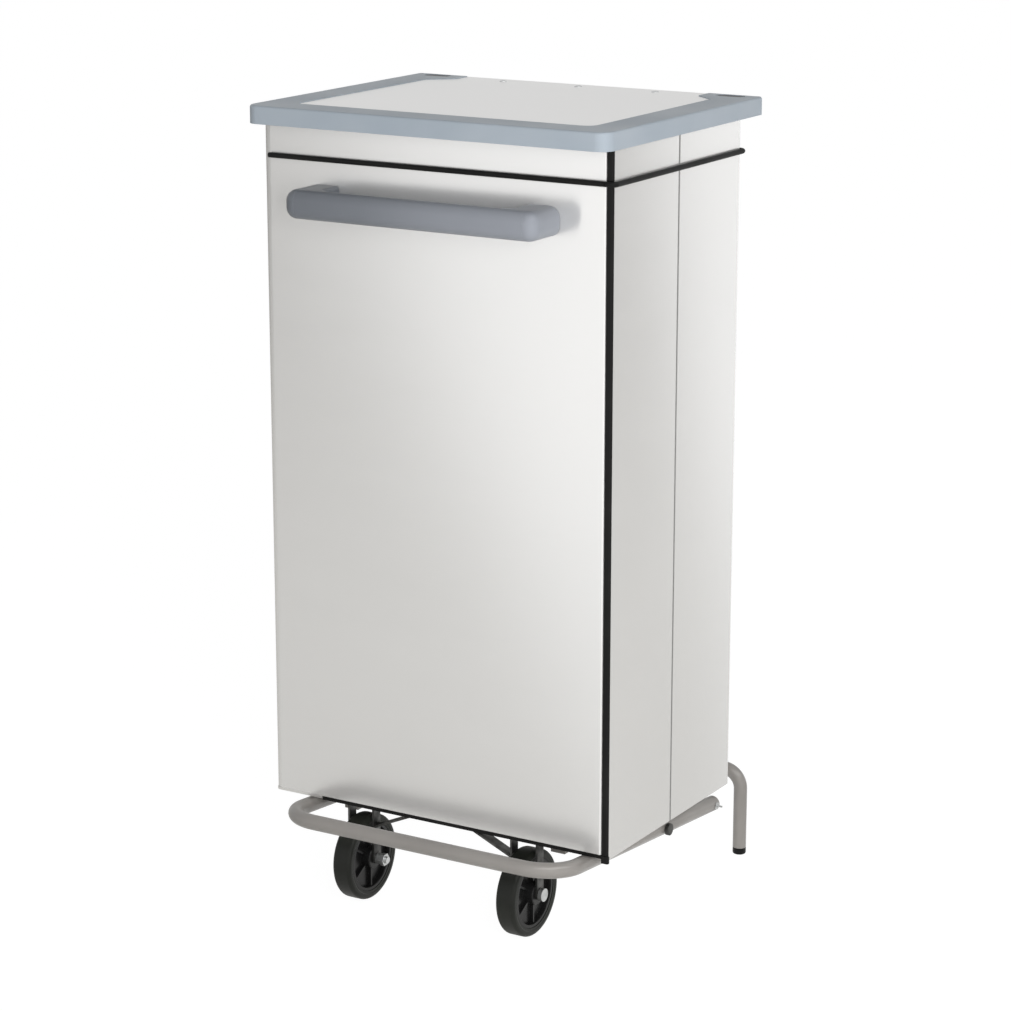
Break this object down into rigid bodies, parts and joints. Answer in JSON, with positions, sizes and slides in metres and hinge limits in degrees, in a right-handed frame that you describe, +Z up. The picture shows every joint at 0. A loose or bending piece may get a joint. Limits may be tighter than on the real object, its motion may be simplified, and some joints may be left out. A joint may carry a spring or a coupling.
{
  "type": "pedal bin",
  "caption": "Tall waste bin of folded steel sheet with a hinged front door, a lid that a foot pedal lifts through a push rod, wheels under the front and a tubular rear stand.",
  "frame": {"origin": "on the floor, under the middle of the whole bin's footprint", "axes": "+Z up, +X to the right of someone who faces the door, +Y from the door to the back"},
  "size_m": [0.4542, 0.436, 0.912],
  "materials": {
    "steel": "satin stainless sheet",
    "zinc": "bright zinc plate",
    "lid_plastic": "fine-grained grey moulding",
    "handle_plastic": "fine-grained dark grey moulding",
    "nylon": "natural nylon",
    "rubber": "black extruded rubber",
    "tyre": "black tyre rubber",
    "wheel_plastic": "black moulded hub",
    "tube_paint": "warm grey powder coat"
  },
  "bodies": {
    "bin": {"side_panel_left": "steel", "side_panel_right": "steel", "rear_shell": "steel", "floor_pan": "steel", "door_frame": "steel", "seal_strip": "rubber", "seal_plug": "rubber", "sill_gasket": "rubber", "hinge_plate_bottom": "steel", "hinge_plate_top": "steel", "hinge_pin_bottom": "zinc", "hinge_pin_top": "zinc", "band_body": "rubber", "lid_hinge_arm_left": "steel", "lid_hinge_arm_right": "steel", "lid_hinge_pin": "zinc", "rod_guide_lower": "nylon", "rod_guide_upper": "nylon", "pedal_bracket_left": "zinc", "pedal_bracket_right": "zinc", "pedal_bolt_left": "zinc", "pedal_bolt_right": "zinc", "fork_left": "zinc", "fork_right": "zinc", "fork_rivet_left": "zinc", "fork_rivet_right": "zinc", "axle_left": "zinc", "axle_right": "zinc", "axle_nut_left": "zinc", "axle_nut_right": "zinc", "rear_leg_tube": "tube_paint", "foot_plug_left": "rubber", "foot_plug_right": "rubber", "rail_left": "tube_paint", "rail_right": "tube_paint"},
    "door": {"door_panel": "steel", "door_liner": "steel", "hinge_bush_bottom": "nylon", "hinge_bush_top": "nylon", "door_handle": "handle_plastic", "handle_screw_left": "zinc", "handle_screw_right": "zinc", "band_front": "rubber"},
    "lid": {"lid_frame": "lid_plastic", "lid_plate": "steel", "lid_rivet_left": "zinc", "lid_rivet_middle": "zinc", "lid_rivet_right": "zinc", "lid_buffer_left": "rubber", "lid_buffer_right": "rubber", "lid_hinge_leaf": "steel", "lid_lever": "zinc"},
    "push_rod": {"push_rod": "zinc"},
    "pedal": {"pedal_tube": "tube_paint", "pedal_pin": "zinc"},
    "wheel_left": {"tyre_left": "tyre", "hub_left": "wheel_plastic"},
    "wheel_right": {"tyre_right": "tyre", "hub_right": "wheel_plastic"}
  },
  "joints": [
    {"name": "door_hinge", "type": "hinge", "parent": "bin", "child": "door", "pos_m": [-0.209, -0.141, 0.1195], "axis": [0, 0, -1], "range_deg": [0, 105]},
    {"name": "lid_hinge", "type": "hinge", "parent": "bin", "child": "lid", "pos_m": [0, 0.17196, 0.886], "axis": [-1, 0, 0], "range_deg": [0, 75]},
    {"name": "rod_lift", "type": "slide", "parent": "bin", "child": "push_rod", "axis": [0, 0, 1], "range_m": [0, 0.0271]},
    {"name": "pedal_pivot", "type": "hinge", "parent": "bin", "child": "pedal", "pos_m": [0, 0.028, 0.08891], "axis": [1, 0, 0], "range_deg": [0, 12.5]},
    {"name": "wheel_spin_left", "type": "hinge", "parent": "bin", "child": "wheel_left", "pos_m": [-0.1085, -0.135, 0.05], "axis": [1, 0, 0], "continuous": true},
    {"name": "wheel_spin_right", "type": "hinge", "parent": "bin", "child": "wheel_right", "pos_m": [0.1085, -0.135, 0.05], "axis": [1, 0, 0], "continuous": true}
  ],
  "couplings": [
    {"joint": "rod_lift", "follows": "lid_hinge", "m_per_rad": 0.0207},
    {"joint": "pedal_pivot", "follows": "lid_hinge", "ratio": 0.1666}
  ]
}
